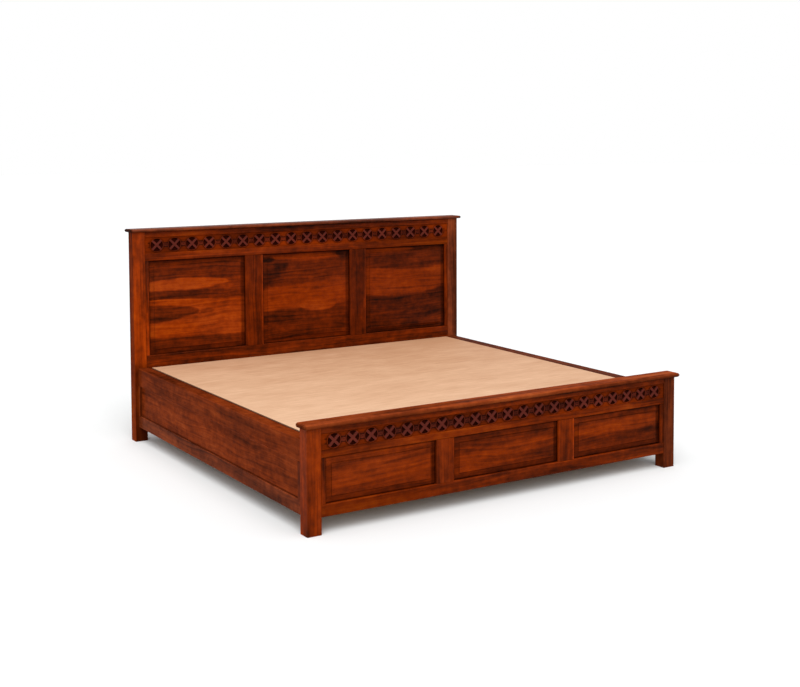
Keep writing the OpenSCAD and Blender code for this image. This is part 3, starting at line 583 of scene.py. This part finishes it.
# Node, axes, place in the log, tone, swing, bands, lightness, contrast
BOARDS = [
    ("head_post_left", ALONG_Z, (1.3, 2.1, 0.4), 1.22, 0.06, 14.0, 0.62, 1.6),
    ("head_post_right", ALONG_Z, (4.9, 5.3, 1.2), 0.88, 0.06, 14.0, 0.52, 1.6),
    ("head_cap", FLAT_X, (2.2, 7.1, 0.0), 0.88, 0.08, 16.0, 0.50, 1.6),
    ("head_top_rail", ALONG_X, (5.4, 1.9, 0.0), 0.68, 0.08, 14.0, 0.52, 2.0),
    ("head_mid_rail", ALONG_X, (7.7, 3.2, 0.0), 0.76, 0.08, 14.0, 0.55, 1.8),
    ("head_mullion_left", ALONG_Z, (0.6, 9.4, 0.0), 0.72, 0.07, 10.0, 0.36, 1.3),
    ("head_mullion_right", ALONG_Z, (1.2, 6.6, 0.0), 0.70, 0.07, 10.0, 0.38, 1.3),
    ("head_stiles", ALONG_Z, (2.6, 7.5, 3.0), 1.35, 0.07, 12.0, 0.50, 1.5),
    ("head_bottom_rail", ALONG_X, (9.1, 4.6, 0.0), 0.92, 0.08, 12.0, 0.46, 1.6),
    ("head_base_rail", ALONG_X, (2.9, 6.3, 0.0), 0.95, 0.08, 12.0, 0.50, 1.8),
    ("foot_post_left", ALONG_Z, (6.1, 3.7, 0.9), 0.95, 0.06, 14.0, 0.58, 1.6),
    ("foot_post_right", ALONG_Z, (8.4, 1.1, 2.9), 0.55, 0.06, 14.0, 0.42, 1.5),
    ("foot_cap", FLAT_X, (6.6, 2.8, 0.0), 1.04, 0.07, 15.0, 0.68, 1.6),
    ("foot_top_rail", ALONG_X, (1.1, 5.5, 0.0), 0.84, 0.08, 14.0, 0.45, 2.2),
    ("foot_mid_rail", ALONG_X, (4.2, 9.9, 0.0), 0.66, 0.08, 14.0, 0.50, 2.0),
    ("foot_mullion_left", ALONG_Z, (7.3, 6.2, 0.0), 0.80, 0.07, 12.0, 0.48, 1.4),
    ("foot_mullion_right", ALONG_Z, (2.5, 1.6, 0.0), 0.86, 0.07, 12.0, 0.48, 1.6),
    ("foot_stiles", ALONG_Z, (9.3, 2.4, 5.0), 0.92, 0.07, 12.0, 0.48, 1.6),
    ("foot_bottom_rail", ALONG_X, (5.8, 8.1, 0.0), 0.74, 0.08, 12.0, 0.50, 1.7),
    ("side_top_rail_left", ALONG_Y, (3.3, 4.4, 0.0), 0.88, 0.09, 9.0, 0.55, 1.2),
    ("side_top_rail_right", ALONG_Y, (9.6, 2.7, 0.0), 0.95, 0.09, 12.0, 0.48, 1.4),
    ("side_bottom_rail_left", ALONG_Y, (1.8, 7.9, 0.0), 0.95, 0.09, 10.0, 0.54, 1.2),
    ("side_bottom_rail_right", ALONG_Y, (6.9, 5.1, 0.0), 0.88, 0.09, 12.0, 0.52, 1.6),
    ("side_stiles_left", ALONG_Z, (2.7, 3.6, 4.0), 0.85, 0.07, 12.0, 0.48, 1.4),
    ("side_stiles_right", ALONG_Z, (5.2, 6.6, 2.0), 0.85, 0.07, 12.0, 0.48, 1.4),
    ("side_panel_left", ALONG_Y, (8.8, 9.2, 0.0), 0.95, 0.12, 6.0, 0.58, 1.0),
    ("side_panel_right", ALONG_Y, (4.4, 3.4, 0.0), 0.84, 0.12, 6.0, 0.58, 1.2),
]
for node, *board in BOARDS:
    grain = (BROWNER.get(node, 0.0), *board)
    quirks = [kind(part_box(node), *numbers) for kind, *numbers in QUIRKS.get(node, ())]
    finish = lacquered("lacquer_" + node, grain, None, quirks, SHINE.get(node, LACQUER))
    dressed(node, finish, PANEL if "panel" in node else RAIL)


# Bare length at each end of a fretwork strip, in metres
BARE_END = 0.0168


def fret_finish(name, node, count, ring, link_wear, shift):
    """Carved fretwork: rail timber with the arms and links rubbed to a dull brown, painted shadow
    around each ring and beside each link, and painted shade on the piercings' walls toward the back."""
    low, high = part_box(node)
    middle = (low + high) / 2
    row_end = high.x - middle.x - BARE_END
    pitch = 2.0 * row_end / count
    last_ring = row_end - pitch / 2.0
    # Width of a ring, and how far from the row's middle line painted shade lies beside a link, in metres
    rim, link_side = 0.003, 0.0095
    dull, bright = (0.047, 0.010, 0.008, 1.0), (0.127, 0.026, 0.019, 1.0)

    def build(start):
        x, y, z = own_place(start)
        board = board_place(start, ALONG_X, shift)
        fibre = start.noise(board, (9.0, 260.0, 90.0), 3.0, 0.6)
        band = start.noise(board, (3.0, 14.0, 3.0), 3.0, 0.6)
        motif = start.maths("FRACT", (x - middle.x) / pitch + 0.5 * count) - 0.5
        aside, height = abs(x - middle.x), abs(z - middle.z)
        radius = ((motif * pitch) ** 2.0 + height ** 2.0) ** 0.5
        row = 1.0 - aside.rise(row_end - 0.001, row_end)
        arms = (1.0 - radius.rise(ring - 0.002, ring + 0.002)) * row
        # Painted shadow in the ground just outside each raised ring
        around = radius.rise(ring, ring + rim) * (1.0 - radius.rise(ring + rim, ring + 4.0 * rim)) * row
        # Painted shade beside each raised link
        link_edge = 1.0 - abs(height - link_side).rise(0.001, 0.004)
        beside = radius.rise(ring + rim, ring + 0.005) * link_edge * row
        link = (1.0 - height.rise(0.009, 0.017)) * (1.0 - aside.rise(last_ring, last_ring + 0.001))
        smudge = start.noise((x, z, 5.0), (34.0, 34.0, 1.0), 2.0).rise(0.35, 0.65)
        smudge = smudge * radius.rise(ring, ring + 0.004) * (1.0 - height.rise(0.012, 0.026)) * row
        value = (band - 0.5) * 1.1 + (fibre - 0.5) * 0.45 + 0.44
        rubbed = (fibre * 0.6 + band * 0.4).between(dull, bright)
        marking = (arms * 0.85).most(link * link_wear)
        colour = marking.between(value.shades(HEARTWOOD), rubbed)
        # Painted shade on the piercings' walls, deepening toward the back
        shade = 1.0 - (y - low.y).rise(0.0015, 0.0075) * 0.68
        for darkening, amount in ((around, 0.40), (beside, 0.60), (smudge, 0.42)):
            shade = shade * (1.0 - darkening * amount)
        return {
            "Base Color": colour.dimmed(shade),
            "Roughness": fibre * 0.1 + 0.38,
            "Normal": fibre.bump(0.15, 0.0006),
        }

    return finish_of(name, build, Specular_IOR_Level=0.0, Coat_Weight=0.02, Coat_Roughness=0.2)


# Rows of motifs: how many, the radius inside their rings in metres, how far the links are rubbed,
# and the strip's place in the log
for end, count, ring, link_wear, shift in (
    ("head", 19, 0.033, 0.45, (2.0, 3.0, 0.0)),
    ("foot", 21, 0.029, 0.60, (6.0, 1.0, 0.0)),
):
    node = end + "_fret_strip"
    finish = fret_finish("lacquer_" + node, node, count, ring, link_wear, shift)
    dressed(node, finish, "sheesham_fret", FRETWORK_EDGE, joined=False)


def backing_finish(name):
    """Near-black board behind the piercings: partly its own dark staining, partly painted shade
    that makes the piercings read deep.
    """
    dark, less_dark = (0.018, 0.002, 0.001, 1.0), (0.045, 0.005, 0.002, 1.0)

    def build(start):
        x, y, z = own_place(start)
        fibre = start.noise((x, z, y), (8.0, 200.0, 60.0), 3.0)
        return {"Base Color": fibre.between(dark, less_dark), "Roughness": fibre * 0.2 + 0.65}

    return finish_of(name, build, Specular_IOR_Level=0.0)


# Near black: partly dark staining, partly painted shade in the piercings
backing = backing_finish("dark_stain")
dressed("head_fret_backing", backing, "fret_backing")
dressed("foot_fret_backing", backing, "fret_backing")


def plywood(name, node, pale, warm, axes, roughness=0.55, painted_gradient=(0.0, 0.0), light=0.5):
    """Sanded plywood: faint slow clouds and fine streaks on its faces, browned edges with glue lines.
    With a painted gradient of light and shade its veneer goes from pale to warm along X and Y, by
    that much in a metre."""
    back, front = [corner[axes[2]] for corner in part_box(node)]
    plies, edge_brown = 7.0, (0.17, 0.062, 0.030, 1.0)

    def build(start):
        x, y, z = own_place(start)
        along, across, through = [(x, y, z)[axis] for axis in axes]
        face = (along, across, 0.0)
        cloud = start.noise(face, (2.2, 6.5, 1.0), 4.0, 0.6)
        streak = start.noise(face, (7.0, 90.0, 1.0), 4.0, 0.65)
        fleck = start.noise(face, (45.0, 420.0, 1.0), 2.0).rise(0.56, 0.74)
        value = (cloud - 0.5) * 0.9 + (streak - 0.5) * 1.5 + light - x * painted_gradient[0] - y * painted_gradient[1]
        on_edge = (through - back).least(front - through).rise(0.0001, 0.0006)
        colour = (on_edge * 0.8).between(value.between(warm, pale), edge_brown)
        ply = start.maths("FRACT", (through - back) / (front - back) * plies)
        glue_line = ply.rise(0.75, 0.92)
        return {
            "Base Color": colour.dimmed((1.0 - fleck * 0.09) * (1.0 - on_edge * glue_line * 0.40)),
            "Roughness": streak * 0.12 + roughness,
            "Normal": (streak * 0.5 + cloud * 0.2).bump(0.10, 0.0008),
        }

    return finish_of(name, build, Specular_IOR_Level=0.12)


deck_pale, deck_warm = (0.76, 0.480, 0.305, 1.0), (0.50, 0.262, 0.142, 1.0)
box_pale, box_warm = (0.60, 0.42, 0.27, 1.0), (0.48, 0.31, 0.18, 1.0)
back_pale, back_warm = (0.42, 0.25, 0.14, 1.0), (0.32, 0.18, 0.09, 1.0)
# Painted light on the deck toward the foot and the left, and painted shade toward the head and the right
deck_ply = plywood("sanded_plywood", "deck_board", deck_pale, deck_warm, FLAT_X, 0.60, (0.20, 0.33), 0.43)
box_ply = plywood("box_plywood", "box_floor", box_pale, box_warm, FLAT_X)
back_ply = plywood("back_plywood", "head_base_panel", back_pale, back_warm, ALONG_X)
dressed("deck_board", deck_ply, "plywood_deck", PLYWOOD_EDGE)
dressed("box_floor", box_ply, "plywood_box", PLYWOOD_EDGE)
dressed("head_base_panel", back_ply, "plywood_box", PLYWOOD_EDGE)


def bare_timber(name, axes):
    """Planed pale softwood with long growth lines."""
    pale, dark = (0.50, 0.33, 0.17, 1.0), (0.30, 0.16, 0.065, 1.0)

    def build(start):
        board = board_place(start, axes, (0.3, 0.7, 0.2))
        along, across, through = board
        drift = start.noise(board, (0.7, 3.0, 3.0), 2.0) - 0.5
        ring = across + through * 0.6 + drift * 0.05
        line = start.noise((ring, along, 0.0), (95.0, 0.8, 1.0), 2.0).rise(0.45, 0.7)
        fibre = start.noise((along, ring, through), (12.0, 500.0, 200.0), 3.0)
        return {
            "Base Color": (line * 0.55 + fibre * 0.35).between(pale, dark),
            "Roughness": fibre * 0.15 + 0.55,
            "Normal": fibre.bump(0.15, 0.0006),
        }

    return finish_of(name, build, Specular_IOR_Level=0.25)


lengthwise = bare_timber("planed_timber_lengthwise", ALONG_Y)
upright = bare_timber("planed_timber_upright", ALONG_Z)
for node in ("floor_cleats", "centre_beam", "deck_ledgers"):
    dressed(node, lengthwise, "box_timber")
for node in ("centre_legs", "lift_uprights"):
    dressed(node, upright, "box_timber")


def powder_coat(name, colour, roughness, grain):
    """Black paint on steel: a fine orange-peel texture and dust-worn patches."""
    dusty = [channel * 1.5 + 0.004 for channel in colour]

    def build(start):
        place = own_place(start)
        peel = start.noise(place, (grain, grain, grain), 2.0)
        patch = start.noise(place, (9.0, 9.0, 9.0), 3.0)
        return {
            "Base Color": patch.between((*colour, 1.0), (*dusty, 1.0)),
            "Roughness": patch * 0.14 + roughness,
            "Normal": peel.bump(0.25, 0.0003),
        }

    return finish_of(name, build)


def bright_metal(name, colour, roughness, streaks):
    """Plated steel with fine turning or drawing marks."""
    clouded = [channel * 0.82 for channel in colour]

    def build(start):
        place = own_place(start)
        mark = start.noise(place, (streaks, streaks * 0.2, streaks), 3.0)
        cloud = start.noise(place, (60.0, 60.0, 60.0), 2.0)
        return {
            "Base Color": cloud.between((*colour, 1.0), (*clouded, 1.0)),
            "Roughness": mark * 0.10 + cloud * 0.08 + roughness,
            "Normal": mark.bump(0.08, 0.0002),
        }

    return finish_of(name, build, Metallic=1.0)


DECK_TUBES = ("deck_side_tubes", "deck_cross_tubes")
LIFT_STEEL = ("lift_arm_left", "lift_arm_right", "lift_base_left", "lift_base_right")
FASTENERS = ("bed_bolts", "lift_screws", "pivot_pins", "strut_lower_pins", "strut_upper_studs")
black = powder_coat("black_powder_coat", (0.018, 0.018, 0.020), 0.34, 900.0)
strut_black = powder_coat("black_gloss_paint", (0.012, 0.012, 0.013), 0.20, 260.0)
zinc = bright_metal("bright_zinc", (0.60, 0.61, 0.63), 0.24, 700.0)
chrome = bright_metal("polished_chrome", (0.78, 0.79, 0.81), 0.06, 1200.0)
METALWORK = (
    (black, "black_steel", DECK_TUBES + LIFT_STEEL),
    (strut_black, "strut_paint", ("strut_tube_left", "strut_tube_right")),
    (chrome, "chrome_rod", ("strut_rod_left", "strut_rod_right")),
    (zinc, "zinc_steel", FASTENERS),
)
for finish, slot, nodes in METALWORK:
    for node in nodes:
        dressed(node, finish, slot, PIN_EDGE if node == "pivot_pins" else METAL_EDGE)


# The studio: a white floor that keeps the shadow, a white surround, and soft light

# How far the floor runs each way, in metres, and the colours of its paper and of the surround: the
# one that lights the bed, and the paler one that the camera sees
FLOOR_REACH = 40.0
PAPER, SEEN_PAPER = (0.58, 0.58, 0.58, 1.0), (0.86, 0.87, 0.87, 1.0)
SURROUND, SEEN_SURROUND = (0.48, 0.48, 0.48, 1.0), (1.0, 1.0, 1.0, 1.0)


def seen_directly(start):
    """1 for the camera's rays and those that a gloss or a glass sends on, 0 for the rest."""
    path = start.node("ShaderNodeLightPath").socket.node
    camera, gloss, glass = [
        Field(start.tree, path.outputs[f"Is {kind} Ray"]) for kind in ("Camera", "Glossy", "Transmission")
    ]
    return camera.most(gloss).most(glass)


def studio_floor():
    mesh = bpy.data.meshes.new("studio_floor")
    corners = [(FLOOR_REACH * x, FLOOR_REACH * y, 0.0) for x, y in ((-1, -1), (1, -1), (1, 1), (-1, 1))]
    mesh.from_pydata(corners, [], [(0, 1, 2, 3)])
    floor = bpy.data.objects.new("studio_floor", mesh)
    bpy.context.scene.collection.objects.link(floor)

    def build(start):
        return {"Base Color": seen_directly(start).between(PAPER, SEEN_PAPER)}

    mesh.materials.append(finish_of("floor_paper", build, Specular_IOR_Level=0.0, Roughness=1.0))


def studio_surround():
    world = bpy.data.worlds.new("studio")
    bpy.context.scene.world = world
    world.use_nodes = True
    colour = seen_directly(Field(world.node_tree)).between(SURROUND, SEEN_SURROUND)
    background = world.node_tree.nodes["Background"]
    world.node_tree.links.new(colour.socket, background.inputs["Color"])


def soft_sun(name, toward, power, spread):
    """Even light from a wide patch of the sky, so the floor stays one shade far out."""
    light = bpy.data.lights.new(name, "SUN")
    light.energy = power
    light.angle = math.radians(spread)
    lamp = bpy.data.objects.new(name, light)
    bpy.context.scene.collection.objects.link(lamp)
    lamp.rotation_mode = "QUATERNION"
    lamp.rotation_quaternion = (-Vector(toward)).to_track_quat("-Z", "Y")


studio_floor()
studio_surround()
soft_sun("key", toward=(-0.45, -0.85, 0.60), power=1.8, spread=50.0)
soft_sun("overhead", toward=(-0.20, -0.35, 1.0), power=1.6, spread=60.0)


# The camera, fitted to the bed's edges in the photograph: its place in metres, its turn in degrees,
# its sensor and lens in millimetres, and the shift of its frame as a share of the frame's width
CAMERA_PLACE = (-3.1520, -5.4475, 1.5739)
AZIMUTH, ELEVATION, ROLL = -34.973, 3.736, 0.08
SENSOR, LENS = 36.0, 58.46
SHIFT_X, SHIFT_Y = -0.1304, -0.1607
NEAREST, FARTHEST = 0.1, 200.0


def photograph_view():
    """The camera at the photograph's viewing angle, with its lens and the shift of its framing."""
    data = bpy.data.cameras.new("photograph_view")
    data.sensor_width = SENSOR
    data.lens = LENS
    data.shift_x = SHIFT_X
    data.shift_y = SHIFT_Y
    data.clip_start = NEAREST
    data.clip_end = FARTHEST
    camera = bpy.data.objects.new("photograph_view", data)
    bpy.context.scene.collection.objects.link(camera)
    around = Matrix.Rotation(math.radians(AZIMUTH), 4, "Z")
    tilt = Matrix.Rotation(math.radians(90.0 - ELEVATION), 4, "X")
    roll = Matrix.Rotation(math.radians(ROLL), 4, "Z")
    camera.matrix_world = Matrix.Translation(CAMERA_PLACE) @ around @ tilt @ roll
    bpy.context.scene.camera = camera


photograph_view()
bpy.context.scene.view_settings.view_transform = "Standard"
